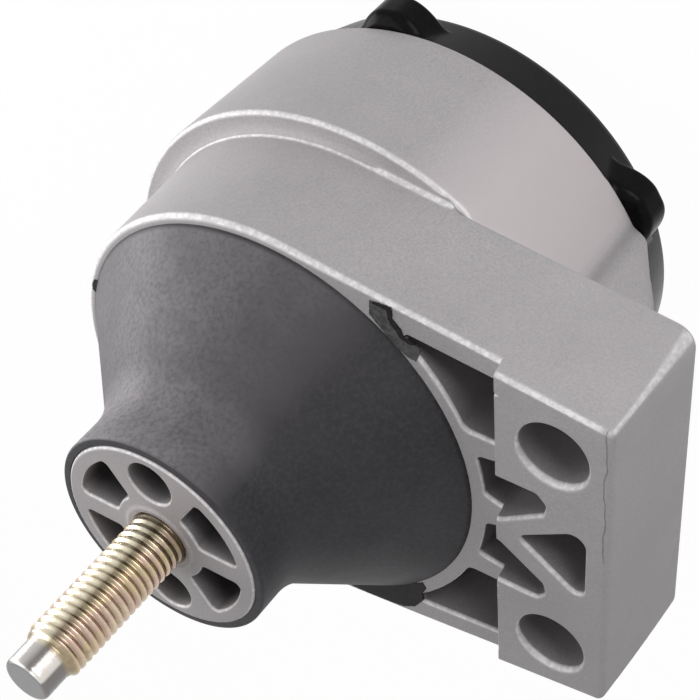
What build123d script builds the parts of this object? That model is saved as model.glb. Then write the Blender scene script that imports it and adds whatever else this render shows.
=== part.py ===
from build123d import *
from math import cos, pi, radians, sin
import os

os.makedirs("parts", exist_ok=True)

# Heights along the stud, in millimetres, measured from the seat of the core at zero
ring_drop = 37.0
pad_rise = 3.0
block_depth = 26.0
can_length = 33.7
cap_drop = 13.3
ring_z = -ring_drop
pad_z = ring_z + pad_rise
under_z = ring_z - block_depth
rim_z = under_z - can_length
base_z = rim_z - cap_drop

# Bracket outline, seen along the stud
wall_radius = 48.2
wall_angle = 7.6
block_reach = 28.4
block_end = wall_radius + block_reach
casting_draft = 2.0
pad_offset = 4.8
pad_start = wall_radius + pad_offset
block_back_round = 1.4
ring_edge_round = 1.3
pad_edge_round = 0.9

# Can below the bracket and the bore inside it
can_shoulder = 5.1
can_radius = wall_radius + can_shoulder
can_taper = 1.1
can_rim_radius = can_radius - can_taper
can_edge_round = 1.2
can_wall = 2.9
ring_wall = 2.9
spring_bore_radius = wall_radius - ring_wall
ledge_depth = 4.0
ledge_z = under_z - ledge_depth
chamber_radius = can_rim_radius - can_wall
web_overhang = 20.8
web_reach = wall_radius + web_overhang
web_end_height = 3.7
web_foot_inset = 5.9
web_foot_x = can_radius - web_foot_inset
web_foot_y = 24.0
web_flare = 9.0
web_brow = 3.0

# Bolt holes and the hollows between the ribs of the block
bolt_offset = 15.8
bolt_x = wall_radius + bolt_offset
bolt_y = 26.5
bolt_hole_radius = 7.1
bolt_lip = 0.8
web_bolt_gap = 2.4
web_half_width = bolt_y - bolt_hole_radius - web_bolt_gap
block_floor = 4.0
hollow_floor_z = under_z + block_floor
hollow_wall = 5.2
hollow_ring_wall = 0.2
hollow_corner = 1.6
large_hollow_overrun = 8.2
large_hollow_root = wall_radius - large_hollow_overrun
rib_thickness = 4.8
rib_inner_y = 14.6
rib_outer_y = rib_inner_y + rib_thickness
slanted_hollow_overrun = 4.2
slanted_hollow_root = wall_radius - slanted_hollow_overrun
slanted_hollow_shelf = 3.6
slanted_hollow_bend = wall_radius + hollow_ring_wall + slanted_hollow_shelf
slanted_hollow_reach = 9.8
slanted_hollow_end = pad_start + slanted_hollow_reach
slanted_hollow_nose = 2.2
slanted_hollow_low_y = 9.8
slanted_hollow_corner = 0.9
middle_rib_half_width = 2.7
middle_hollow_end_wall = 5.6
middle_hollow_end = block_end - middle_hollow_end_wall
middle_hollow_length = 14.4
middle_hollow_tip = middle_hollow_end - middle_hollow_length
middle_hollow_half_height = 9.9
middle_hollow_corner = 2.4

# Core and the hollows in its face
core_radius = 21.6
core_foot_radius = 13.5
core_shoulder_z = -11.0
core_foot_z = -42.0
round_hollow_radius = 4.9
round_hollow_pitch = 14.9
hollow_inner_radius = 9.8
hollow_outer_radius = 18.5
spoke_half_width = 2.4
spoke_angle = 57.0
spoke_offset = 1.0
core_hollow_corner = 1.2
core_hollow_depth = 13.0

# Stud, a metric twelve with a plain dog point
stud_radius = 5.93
thread_length = 31.6
dog_radius = 4.8
dog_length = 6.6
dog_chamfer = 1.0
stud_shank_radius = 6.6
stud_root_z = -24.0
stud_head_radius = 8.5
stud_head_height = 7.0

# Rubber spring
spring_collar = 1.8
spring_lip_radius = core_radius + spring_collar
spring_lip_z = -0.4
spring_neck_z = -9.5
spring_flare = 3.0
spring_cone_top_radius = spring_lip_radius + spring_flare
spring_cone_top_z = -16.7
spring_liner = 2.6
spring_foot_gap = 5.0
spring_arch_radius = 31.0
spring_arch_z = -45.5

# Inertia track, two plates with a loose disc between them
track_clearance = 0.15
upper_plate_thickness = 5.0
lower_plate_thickness = 8.0
cage_radius = 24.0
cage_play = 0.3
cage_depth = 3.8
disc_thickness = 3.2
cage_hole_radius = 2.6
channel_middle_radius = 36.0
channel_width = 9.0
channel_depth = 5.5
seal_section = 2.5
seal_groove_width = 2.9

# Diaphragm, its washer and the closing cap
bead_height = 3.5
diaphragm_thickness = 1.6
cup_depth = 12.0
cup_gap = 1.5
fold_radius = 6.0
dome_rise = 3.5
dome_flat_radius = 22.0
dome_flat_rise = 4.0
washer_thickness = 1.5
washer_width = 4.7
cap_flange_step = 1.0
cap_foot_step = 4.8
cap_foot_chamfer = 1.0
cap_wall = 2.9
cap_floor = 2.6
cap_recess = 1.4
cap_recess_radius = 38.0
cap_clearance = 0.12
lug_count = 5
lug_first_angle = 28.8
lug_height = 8.3
lug_rise = 4.0
lug_base_half_width = 8.2
lug_tip_half_width = 3.9
lug_tip_round = 3.2
vent_radius = 1.5

# Heights of the stack below the ledge
track_top_z = ledge_z
track_split_z = track_top_z - upper_plate_thickness
track_foot_z = track_split_z - lower_plate_thickness
bead_foot_z = track_foot_z - bead_height
washer_foot_z = bead_foot_z - washer_thickness
fold_z = bead_foot_z - cup_depth

wall_sin = sin(radians(wall_angle))
wall_cos = cos(radians(wall_angle))


def wall_y(x, reach):
    """Half height of the outline at x, for a wall that lies `reach` from the stud axis."""
    return (reach - x * wall_sin) / wall_cos


# Housing, one aluminium casting
draft_slope = sin(radians(casting_draft)) / cos(radians(casting_draft))
pad_root_z = ring_z - ring_edge_round
pad_root_reach = wall_radius - (pad_root_z - under_z) * draft_slope
pad_root_end = block_end - (pad_root_z - under_z) * draft_slope
front_reach = wall_radius - block_depth * draft_slope
tangent_x = wall_radius * wall_sin
tangent_y = wall_radius * wall_cos
block_end_y = wall_y(block_end, wall_radius)
web_root_x = web_foot_x - 4.0
web_neck_x = web_foot_x + web_flare
web_bend_x = web_foot_x + 0.38 * web_flare
web_bend_y = web_half_width + 0.3 * (web_foot_y - web_half_width)
web_end_z = rim_z + web_end_height

# The bracket is a ring whose walls run on, converging, to the end face of the block
with BuildSketch() as bracket_outline:
    with BuildLine():
        Line((tangent_x, -tangent_y), (block_end, -block_end_y))
        Line((block_end, -block_end_y), (block_end, block_end_y))
        Line((block_end, block_end_y), (tangent_x, tangent_y))
        ThreePointArc((tangent_x, tangent_y), (-wall_radius, 0), (tangent_x, -tangent_y))
    make_face()

with BuildPart() as housing:
    # The bracket rises from its underside to the ring's front face, with draft on its walls
    with BuildSketch(Plane.XY.offset(under_z)):
        add(bracket_outline.sketch)
    extrude(amount=block_depth, taper=casting_draft)
    fillet(housing.edges().group_by(Axis.Z)[-1], radius=ring_edge_round)
    # The pad round the bolt holes stands proud of the ring and the ribs
    with BuildSketch(Plane.XY.offset(pad_root_z)):
        Polygon(
            (pad_start, -wall_y(pad_start, pad_root_reach)),
            (pad_root_end, -wall_y(pad_root_end, pad_root_reach)),
            (pad_root_end, wall_y(pad_root_end, pad_root_reach)),
            (pad_start, wall_y(pad_start, pad_root_reach)),
            align=None,
        )
    extrude(amount=pad_z - pad_root_z, taper=casting_draft)
    fillet(housing.edges().group_by(Axis.Z)[-1], radius=pad_edge_round)
    block_edges = housing.edges().filter_by(Axis.Y).group_by(Axis.X)[-1].sort_by(Axis.Z)
    fillet(block_edges[0], radius=block_back_round)
    # A web with flared sides carries the underside of the block down the side of the can
    with BuildSketch(Plane.XY.offset(under_z + 1)):
        with BuildLine():
            Line((web_root_x, -web_foot_y), (web_foot_x, -web_foot_y))
            ThreePointArc((web_foot_x, -web_foot_y), (web_bend_x, -web_bend_y), (web_neck_x, -web_half_width))
            Line((web_neck_x, -web_half_width), (web_reach, -web_half_width))
            Line((web_reach, -web_half_width), (web_reach, web_half_width))
            Line((web_reach, web_half_width), (web_neck_x, web_half_width))
            ThreePointArc((web_neck_x, web_half_width), (web_bend_x, web_bend_y), (web_foot_x, web_foot_y))
            Line((web_foot_x, web_foot_y), (web_root_x, web_foot_y))
            Line((web_root_x, web_foot_y), (web_root_x, -web_foot_y))
        make_face()
    extrude(amount=rim_z + 1 - under_z)
    with BuildSketch(Plane.XZ):
        Polygon(
            (web_reach, under_z - web_brow),
            (web_reach + 1, under_z - web_brow),
            (web_reach + 1, rim_z),
            (web_root_x - 1, rim_z),
            (web_root_x - 1, web_end_z),
            (can_rim_radius - 0.5, web_end_z),
            align=None,
        )
    extrude(amount=web_foot_y + 1, both=True, mode=Mode.SUBTRACT)
    # The can hangs below the bracket and is a little wider
    with BuildSketch(Plane.XZ):
        Polygon(
            (0, under_z),
            (can_radius - can_edge_round, under_z),
            (can_radius, under_z - can_edge_round),
            (can_rim_radius, rim_z),
            (0, rim_z),
            align=None,
        )
    revolve(axis=Axis.Z)
    # The can's edge is only bare outside the bracket: under it, the can meets it at full radius
    with BuildSketch(Plane.XY.offset(under_z)):
        add(bracket_outline.sketch)
        Circle(can_radius, mode=Mode.INTERSECT)
    extrude(amount=-can_edge_round)
    # Bore for the rubber above, chamber for the track and the cap below
    with BuildSketch(Plane.XZ):
        Polygon(
            (0, pad_z + 1),
            (spring_bore_radius, pad_z + 1),
            (spring_bore_radius, ledge_z),
            (chamber_radius, ledge_z),
            (chamber_radius, rim_z - 1),
            (0, rim_z - 1),
            align=None,
        )
    revolve(axis=Axis.Z, mode=Mode.SUBTRACT)
    # Large hollows above and below, between the ring, the wall and the pad
    with BuildSketch(Plane.XY.offset(pad_z)) as large_hollows:
        Polygon(
            (tangent_x, wall_y(tangent_x, front_reach - hollow_wall)),
            (pad_start, wall_y(pad_start, front_reach - hollow_wall)),
            (pad_start, rib_outer_y),
            (large_hollow_root, rib_outer_y - 1.0),
            align=None,
        )
        Circle(wall_radius, mode=Mode.SUBTRACT)
        fillet(large_hollows.vertices(), radius=hollow_corner)
        mirror(about=Plane.XZ)
    extrude(amount=hollow_floor_z - pad_z, mode=Mode.SUBTRACT)
    # Slanted hollows that run from the ring into the pad, and the three-cornered one between
    with BuildSketch(Plane.XY.offset(pad_z)) as slanted_hollows:
        Polygon(
            (slanted_hollow_root, rib_inner_y - 1.2),
            (slanted_hollow_bend, rib_inner_y),
            (slanted_hollow_end - slanted_hollow_nose, rib_inner_y),
            (slanted_hollow_end, rib_inner_y - slanted_hollow_nose),
            (slanted_hollow_end - 0.5, slanted_hollow_low_y),
            (slanted_hollow_bend + 0.5, middle_rib_half_width),
            (slanted_hollow_root, middle_rib_half_width + 1.0),
            align=None,
        )
        Circle(wall_radius + hollow_ring_wall, mode=Mode.SUBTRACT)
        fillet(slanted_hollows.vertices(), radius=slanted_hollow_corner)
        mirror(about=Plane.XZ)
    extrude(amount=hollow_floor_z - pad_z, mode=Mode.SUBTRACT)
    with BuildSketch(Plane.XY.offset(pad_z)) as middle_hollow:
        Polygon(
            (middle_hollow_tip, 0.6),
            (middle_hollow_end, middle_hollow_half_height),
            (middle_hollow_end, -middle_hollow_half_height),
            align=None,
        )
        middle_corners = middle_hollow.vertices().sort_by(Axis.X)
        fillet(middle_corners[0], radius=hollow_corner)
        fillet(middle_corners[1:], radius=middle_hollow_corner)
    extrude(amount=hollow_floor_z - pad_z, mode=Mode.SUBTRACT)
    # Two bolt holes run right through, with softened lips
    with Locations((bolt_x, bolt_y, pad_z), (bolt_x, -bolt_y, pad_z)):
        Hole(radius=bolt_hole_radius)
    round_edges = housing.edges().filter_by(GeomType.CIRCLE)
    hole_lips = round_edges.filter_by(lambda edge: abs(edge.radius - bolt_hole_radius) < 0.01)
    chamfer(hole_lips, length=bolt_lip)

housing.part.label = "housing"
export_step(housing.part, "parts/housing.step")

# Core, an aluminium casting bonded inside the rubber
with BuildPart() as core:
    with BuildSketch(Plane.XZ):
        Polygon(
            (0, 0),
            (core_radius, 0),
            (core_radius, core_shoulder_z),
            (core_foot_radius, core_foot_z),
            (0, core_foot_z),
            align=None,
        )
    revolve(axis=Axis.Z)
    # Two round hollows and four cornered ones leave six spokes
    with BuildSketch(Plane.XY):
        with Locations((0, round_hollow_pitch), (0, -round_hollow_pitch)):
            Circle(round_hollow_radius)
    extrude(amount=-core_hollow_depth, mode=Mode.SUBTRACT)
    spoke_slope = sin(radians(spoke_angle)) / cos(radians(spoke_angle))
    with BuildSketch(Plane.XY) as cornered_hollows:
        Polygon(
            (hollow_inner_radius / 2, spoke_half_width),
            (core_radius, spoke_half_width),
            (core_radius, core_radius * spoke_slope - spoke_offset),
            (spoke_half_width, spoke_half_width * spoke_slope - spoke_offset),
            align=None,
        )
        Circle(hollow_outer_radius, mode=Mode.INTERSECT)
        Circle(hollow_inner_radius, mode=Mode.SUBTRACT)
        fillet(cornered_hollows.vertices(), radius=core_hollow_corner)
        mirror(about=Plane.XZ)
        mirror(about=Plane.YZ)
    extrude(amount=-core_hollow_depth, mode=Mode.SUBTRACT)
    # Bore that holds the shank and the head of the stud
    with BuildSketch(Plane.XZ):
        Polygon(
            (0, 1),
            (stud_shank_radius, 1),
            (stud_shank_radius, stud_root_z + stud_head_height),
            (stud_head_radius, stud_root_z + stud_head_height),
            (stud_head_radius, stud_root_z),
            (0, stud_root_z),
            align=None,
        )
    revolve(axis=Axis.Z, mode=Mode.SUBTRACT)

core.part.label = "core"
export_step(core.part, "parts/core.step")

# Stud, its thread drawn at the crest diameter
dog_start_z = thread_length + 0.9
with BuildPart() as engine_stud:
    with BuildSketch(Plane.XZ):
        Polygon(
            (0, stud_root_z),
            (stud_head_radius, stud_root_z),
            (stud_head_radius, stud_root_z + stud_head_height),
            (stud_shank_radius, stud_root_z + stud_head_height),
            (stud_shank_radius, 0),
            (stud_radius, 0),
            (stud_radius, thread_length),
            (dog_radius, dog_start_z),
            (dog_radius, thread_length + dog_length - dog_chamfer),
            (dog_radius - dog_chamfer, thread_length + dog_length),
            (0, thread_length + dog_length),
            align=None,
        )
    revolve(axis=Axis.Z)

engine_stud.part.label = "engine_stud"
export_step(engine_stud.part, "parts/engine_stud.step")

# Rubber spring, bonded to the core inside and to the bore of the housing outside
cone_slope = (spring_bore_radius - spring_cone_top_radius) / (spring_cone_top_z - ring_z)
liner_radius = spring_bore_radius - spring_liner
spring_foot_z = ledge_z + spring_foot_gap
arch_middle = (spring_arch_radius, spring_arch_z)
with BuildPart() as main_spring:
    with BuildSketch(Plane.XZ):
        with BuildLine():
            Line((core_radius, spring_lip_z), (spring_lip_radius, spring_lip_z))
            Line((spring_lip_radius, spring_lip_z), (spring_lip_radius, spring_neck_z))
            Spline(
                (spring_lip_radius, spring_neck_z),
                (spring_cone_top_radius, spring_cone_top_z),
                tangents=((0.1, -1), (cone_slope, -1)),
            )
            Line((spring_cone_top_radius, spring_cone_top_z), (spring_bore_radius, ring_z))
            Line((spring_bore_radius, ring_z), (spring_bore_radius, spring_foot_z))
            Line((spring_bore_radius, spring_foot_z), (liner_radius, spring_foot_z))
            ThreePointArc((liner_radius, spring_foot_z), arch_middle, (core_foot_radius, core_foot_z))
            Line((core_foot_radius, core_foot_z), (core_radius, core_shoulder_z))
            Line((core_radius, core_shoulder_z), (core_radius, spring_lip_z))
        make_face()
    revolve(axis=Axis.Z)

main_spring.part.label = "main_spring"
export_step(main_spring.part, "parts/main_spring.step")

# Upper track plate, which rests under the ledge of the housing
plate_radius = chamber_radius - track_clearance
cage_half = cage_depth / 2
with BuildPart() as track_plate_upper:
    with BuildSketch(Plane.XY.offset(track_split_z)):
        Circle(plate_radius)
    extrude(amount=upper_plate_thickness)
    with BuildSketch(Plane.XY.offset(track_split_z)):
        Circle(cage_radius)
    extrude(amount=cage_half, mode=Mode.SUBTRACT)
    # Openings over the loose disc, and one port into the channel
    with BuildSketch(Plane.XY.offset(track_split_z)):
        Circle(cage_hole_radius)
        with PolarLocations(9.0, 6):
            Circle(cage_hole_radius)
        with PolarLocations(17.5, 12):
            Circle(cage_hole_radius)
        with PolarLocations(channel_middle_radius, 1, start_angle=20):
            Circle(channel_width / 2 - 0.5)
    extrude(amount=upper_plate_thickness, mode=Mode.SUBTRACT)

track_plate_upper.part.label = "track_plate_upper"
export_step(track_plate_upper.part, "parts/track_plate_upper.step")

# Lower track plate, with the long channel and the groove for the seal
groove_radius = plate_radius - seal_section + track_clearance - 0.05
groove_middle_z = track_foot_z + lower_plate_thickness / 2 - 1.5
with BuildPart() as track_plate_lower:
    with BuildSketch(Plane.XY.offset(track_foot_z)):
        Circle(plate_radius)
    extrude(amount=lower_plate_thickness)
    with BuildSketch(Plane.XY.offset(track_split_z)):
        Circle(cage_radius)
    extrude(amount=-cage_half, mode=Mode.SUBTRACT)
    with BuildSketch(Plane.XY.offset(track_foot_z)):
        Circle(cage_hole_radius)
        with PolarLocations(9.0, 6):
            Circle(cage_hole_radius)
        with PolarLocations(17.5, 12):
            Circle(cage_hole_radius)
        with PolarLocations(channel_middle_radius, 1, start_angle=-20):
            Circle(channel_width / 2 - 0.5)
    extrude(amount=lower_plate_thickness, mode=Mode.SUBTRACT)
    # The channel runs nearly all the way round, from one port to the other
    with BuildSketch(Plane.XY.offset(track_split_z)):
        SlotArc(
            CenterArc((0, 0), channel_middle_radius, 20, 320, mode=Mode.PRIVATE),
            channel_width,
        )
    extrude(amount=-channel_depth, mode=Mode.SUBTRACT)
    with BuildSketch(Plane.XY.offset(groove_middle_z - seal_groove_width / 2)):
        Circle(plate_radius + 1)
        Circle(groove_radius, mode=Mode.SUBTRACT)
    extrude(amount=seal_groove_width, mode=Mode.SUBTRACT)

track_plate_lower.part.label = "track_plate_lower"
export_step(track_plate_lower.part, "parts/track_plate_lower.step")

# Loose rubber disc that lets small movements through
with BuildPart() as decoupler_disc:
    with BuildSketch(Plane.XY.offset(track_split_z - disc_thickness / 2)):
        Circle(cage_radius - cage_play)
    extrude(amount=disc_thickness)
    fillet(decoupler_disc.edges(), radius=0.6)

decoupler_disc.part.label = "decoupler_disc"
export_step(decoupler_disc.part, "parts/decoupler_disc.step")

# Rubber ring that seals the lower plate in the chamber
seal_middle_radius = chamber_radius - seal_section / 2 - 0.02
with BuildPart() as seal_ring:
    with BuildSketch(Plane.XZ):
        with Locations((seal_middle_radius, groove_middle_z)):
            Circle(seal_section / 2)
    revolve(axis=Axis.Z)

seal_ring.part.label = "seal_ring"
export_step(seal_ring.part, "parts/seal_ring.step")

# Diaphragm, a thin rubber cup with a thick bead at its rim
cap_foot_radius = can_rim_radius - cap_foot_step
cap_hollow_radius = cap_foot_radius - cap_wall
cup_wall_radius = cap_hollow_radius - cup_gap - diaphragm_thickness / 2
cup_outer_radius = cup_wall_radius + diaphragm_thickness / 2
cup_inner_radius = cup_wall_radius - diaphragm_thickness / 2
fold_middle = cup_wall_radius - fold_radius
dome_radius = fold_middle - fold_radius
fold_outer_z = fold_z - fold_radius - diaphragm_thickness / 2
fold_inner_z = fold_z - fold_radius + diaphragm_thickness / 2
dome_outer_radius = dome_radius + diaphragm_thickness / 2
dome_inner_radius = dome_radius - diaphragm_thickness / 2
dome_edge_z = fold_z + dome_rise
dome_flat_z = dome_edge_z + dome_flat_rise
with BuildPart() as diaphragm:
    with BuildSketch(Plane.XZ):
        with BuildLine():
            Line((cup_inner_radius, track_foot_z), (plate_radius, track_foot_z))
            Line((plate_radius, track_foot_z), (plate_radius, bead_foot_z))
            Line((plate_radius, bead_foot_z), (cup_outer_radius, bead_foot_z))
            Line((cup_outer_radius, bead_foot_z), (cup_outer_radius, fold_z))
            ThreePointArc((cup_outer_radius, fold_z), (fold_middle, fold_outer_z), (dome_inner_radius, fold_z))
            Line((dome_inner_radius, fold_z), (dome_inner_radius, dome_edge_z))
            Line((dome_inner_radius, dome_edge_z), (dome_flat_radius, dome_flat_z))
            Line((dome_flat_radius, dome_flat_z), (0, dome_flat_z))
            Line((0, dome_flat_z), (0, dome_flat_z + diaphragm_thickness))
            Line((0, dome_flat_z + diaphragm_thickness), (dome_flat_radius, dome_flat_z + diaphragm_thickness))
            Line((dome_flat_radius, dome_flat_z + diaphragm_thickness), (dome_outer_radius, dome_edge_z + 0.7))
            Line((dome_outer_radius, dome_edge_z + 0.7), (dome_outer_radius, fold_z))
            ThreePointArc((dome_outer_radius, fold_z), (fold_middle, fold_inner_z), (cup_inner_radius, fold_z))
            Line((cup_inner_radius, fold_z), (cup_inner_radius, track_foot_z))
        make_face()
    revolve(axis=Axis.Z)

diaphragm.part.label = "diaphragm"
export_step(diaphragm.part, "parts/diaphragm.step")

# Steel washer that keeps the turning cap off the bead
with BuildPart() as bead_washer:
    with BuildSketch(Plane.XY.offset(washer_foot_z)):
        Circle(plate_radius)
        Circle(plate_radius - washer_width, mode=Mode.SUBTRACT)
    extrude(amount=washer_thickness)

bead_washer.part.label = "bead_washer"
export_step(bead_washer.part, "parts/bead_washer.step")

# Closing cap, a black moulding with five lugs round its side
sleeve_radius = chamber_radius - cap_clearance
cap_flange_radius = can_rim_radius - cap_flange_step
lug_root_radius = cap_flange_radius - 2.0
lug_tip_radius = cap_flange_radius + lug_rise
with BuildPart() as cap:
    with BuildSketch(Plane.XZ):
        Polygon(
            (0, rim_z),
            (cap_flange_radius, rim_z),
            (cap_foot_radius, base_z + cap_foot_chamfer),
            (cap_foot_radius - cap_foot_chamfer, base_z),
            (0, base_z),
            align=None,
        )
    revolve(axis=Axis.Z)
    with BuildSketch(Plane.XY.offset(rim_z)):
        Circle(sleeve_radius)
    extrude(amount=washer_foot_z - rim_z)
    # Round-nosed lugs with sloping flanks, which a spanner can turn
    with BuildSketch(Plane.XY.offset(rim_z)) as lugs:
        with PolarLocations(lug_root_radius, lug_count, start_angle=lug_first_angle):
            Polygon(
                (0, -lug_base_half_width),
                (lug_tip_radius - lug_root_radius, -lug_tip_half_width),
                (lug_tip_radius - lug_root_radius, lug_tip_half_width),
                (0, lug_base_half_width),
                align=None,
            )
        lug_tips = lugs.vertices().filter_by(lambda corner: corner.X**2 + corner.Y**2 > can_rim_radius**2)
        fillet(lug_tips, radius=lug_tip_round)
    extrude(amount=-lug_height)
    # Hollow inside, open to the diaphragm
    with BuildSketch(Plane.XY.offset(base_z + cap_floor)):
        Circle(cap_hollow_radius)
    extrude(amount=washer_foot_z - base_z - cap_floor, mode=Mode.SUBTRACT)
    # The middle of the floor is set in, so that the cap stands on its rim, and it has a vent
    with BuildSketch(Plane.XY.offset(base_z)):
        Circle(cap_recess_radius)
    extrude(amount=cap_recess, mode=Mode.SUBTRACT)
    with BuildSketch(Plane.XY.offset(base_z)):
        Circle(vent_radius)
    extrude(amount=cap_floor, mode=Mode.SUBTRACT)

cap.part.label = "cap"
export_step(cap.part, "parts/cap.step")

for piece in (
    housing,
    core,
    engine_stud,
    main_spring,
    track_plate_upper,
    track_plate_lower,
    decoupler_disc,
    seal_ring,
    diaphragm,
    bead_washer,
    cap,
):
    box = piece.part.bounding_box()
    print(piece.part.label, len(piece.part.solids()), round(piece.part.volume), box.min, box.max)
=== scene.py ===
# %% [markdown]
# # An engine mount in cast aluminium, rubber and zinc
#
# The real thing is a bracket and a can cast in one piece. A cone of rubber is moulded into its ring, a
# small casting sits in the rubber, and a plated stud stands out of that. A black cap closes the can at
# the back.
#
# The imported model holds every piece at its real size. This lesson dresses it: each visible piece becomes
# a smooth surface with the rounded edges of a casting, and gets a finish made of shader nodes.

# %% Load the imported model
from math import cos, pi, radians, sin, tan

import bmesh
import bpy
import numpy as np
from mathutils import Matrix, Vector
from mathutils.geometry import delaunay_2d_cdt


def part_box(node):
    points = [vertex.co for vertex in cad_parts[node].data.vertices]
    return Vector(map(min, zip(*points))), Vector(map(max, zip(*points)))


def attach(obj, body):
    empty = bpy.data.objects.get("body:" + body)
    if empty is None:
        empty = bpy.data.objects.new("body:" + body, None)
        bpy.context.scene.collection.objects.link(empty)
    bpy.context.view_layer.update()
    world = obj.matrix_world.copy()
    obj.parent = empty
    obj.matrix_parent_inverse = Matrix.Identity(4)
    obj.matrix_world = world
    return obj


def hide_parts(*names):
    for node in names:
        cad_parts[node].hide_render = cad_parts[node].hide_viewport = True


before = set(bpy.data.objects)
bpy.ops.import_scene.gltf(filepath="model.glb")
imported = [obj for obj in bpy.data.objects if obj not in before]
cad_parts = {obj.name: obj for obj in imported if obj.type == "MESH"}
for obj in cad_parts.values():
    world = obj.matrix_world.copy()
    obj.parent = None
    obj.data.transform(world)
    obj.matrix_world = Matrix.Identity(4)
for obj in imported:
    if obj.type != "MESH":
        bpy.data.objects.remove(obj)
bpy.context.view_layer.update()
MM = 0.001
print("nodes:", ", ".join(sorted(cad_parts)))

# %% [markdown]
# ## The sizes that everything follows
#
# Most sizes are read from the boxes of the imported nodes, so they can't drift away from the model. They
# are in millimetres. The few that a box can't give, such as the lean of the walls, are named once.


# %% Read the sizes
def box_mm(node):
    """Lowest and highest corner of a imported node, in millimetres."""
    low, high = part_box(node)
    return np.array(low) / MM, np.array(high) / MM


housing_low, housing_high = box_mm("housing")
spring_high = box_mm("main_spring")[1]
core_radius = box_mm("core")[1][0]
tip_z = box_mm("engine_stud")[1][2]
base_z = box_mm("cap")[0][2]
rim_z, pad_z = housing_low[2], housing_high[2]
block_end, can_radius = housing_high[0], housing_high[1]
bore_radius, lip_top_z = spring_high[1], spring_high[2]

pad_rise, pad_edge, step_width = 3.0, 52.4, 0.5
block_depth, can_draft = 26.0, 1.1
wall_radius, wall_angle = 48.2, radians(7.6)
draft_slope = tan(radians(2.0))
stud_radius = 5.93
ring_z = pad_z - pad_rise
under_z = ring_z - block_depth
can_rim_radius = can_radius - can_draft
print("can radius", round(can_radius, 2), "core radius", round(core_radius, 2), "rim", round(rim_z, 2))

# %% [markdown]
# ## Turning grids of points into meshes
#
# Nearly every surface here is a grid: rows of points, each joined to its neighbours in the row and in the
# next one. A piece is a list of such patches. They share the points along their common edges, so merging
# what lies within a hair closes the skin.


# %% Grid and mesh helpers
def grid_patch(points):
    """Patch of a grid (rows, columns, 3) whose rows close on themselves, as points and quads."""
    rows, columns = points.shape[:2]
    i, j = np.meshgrid(np.arange(rows - 1), np.arange(columns), indexing="ij")
    right = (j + 1) % columns
    corners = i * columns + j, i * columns + right, (i + 1) * columns + right, (i + 1) * columns + j
    return points.reshape(-1, 3), np.stack(corners, -1).reshape(-1, 4).tolist()


def make_piece(name, patches):
    """One mesh object from patches in millimetres, doubled points merged and faces turned outwards."""
    hair = 2e-3 * MM
    points, faces, start = [], [], 0
    for patch_points, patch_faces in patches:
        points.append(patch_points)
        faces += [[start + corner for corner in face] for face in patch_faces]
        start += len(patch_points)
    mesh = bpy.data.meshes.new(name)
    mesh.from_pydata((np.concatenate(points) * MM).tolist(), [], faces)
    work = bmesh.new()
    work.from_mesh(mesh)
    bmesh.ops.remove_doubles(work, verts=work.verts, dist=hair)
    bmesh.ops.dissolve_degenerate(work, edges=work.edges, dist=1e-7)
    bmesh.ops.recalc_face_normals(work, faces=work.faces)
    open_edges = sum(1 for edge in work.edges if len(edge.link_faces) != 2)
    work.to_mesh(mesh)
    work.free()
    mesh.shade_smooth()
    mesh.set_sharp_from_angle(angle=radians(50))
    piece = bpy.data.objects.new(name, mesh)
    bpy.context.scene.collection.objects.link(piece)
    print(name, "faces", len(mesh.polygons), "open edges", open_edges)
    return piece


def polar(radius, angle, z):
    """Points at a radius, an angle round the stud and a height, each one number or many."""
    radius, angle, z = np.broadcast_arrays(radius, angle, z)
    return np.stack([radius * np.cos(angle), radius * np.sin(angle), z], -1)


def rings(profile, angles):
    """Grid of a profile (radius, z) turned to every angle round the stud."""
    profile = np.array(profile, float)
    return polar(profile[:, :1], angles, profile[:, 1:])


def full_turn(count):
    """Evenly spaced angles all the way round."""
    return np.linspace(0, 2 * pi, count, endpoint=False)


def turned(profile, count=192):
    """Patch of a profile turned all the way round."""
    return grid_patch(rings(profile, full_turn(count)))


def quarter(count):
    """Quarter round as pairs (1 - sin t, 1 - cos t), from (1, 0) to (0, 1)."""
    t = np.linspace(0, pi / 2, count)
    return list(zip(1 - np.sin(t), 1 - np.cos(t)))


def ramp(value, low, high):
    """0 below low, 1 above high, with a soft start and end: 3t^2 - 2t^3."""
    t = np.clip((value - low) / (high - low), 0, 1)
    return t * t * (3 - 2 * t)


# %% [markdown]
# ## Outlines
#
# The bracket, seen along the stud, is a ring whose two walls run on and lean towards each other until
# they meet the end face. The hollows are polygons with rounded corners: one function swaps each corner for
# an arc that touches both sides, then spaces the points evenly. Moving an outline's points along their
# normals makes it larger or smaller, which is what rounds the edges later.


# %% Outline helpers
wall_normal = np.array([np.sin(wall_angle), np.cos(wall_angle)])
mirror = np.array([1, -1])
tiny = 1e-9


def wall_point(x, reach):
    """Half height at x of an outline with its walls at this reach."""
    return (reach - x * wall_normal[0]) / wall_normal[1]


def mirrored(loop, signs=mirror):
    """The loop on the other side of an axis, still counter-clockwise."""
    return (loop * signs)[::-1]


def straight(start, end, count):
    """Points from start up to, and without, end."""
    t = np.linspace(0, 1, count, endpoint=False)[:, None]
    return (1 - t) * start + t * end


def arc(centre, radius, start, end, count, with_end=False):
    """Points of an arc, centre + radius (cos a, sin a)."""
    a = np.linspace(start, end, count, endpoint=with_end)
    return np.array(centre) + polar(radius, a, 0)[:, :2]


def circle(radius, count, centre=(0, 0)):
    """Points of a whole circle."""
    return arc(centre, radius, 0, 2 * pi, count)


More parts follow.
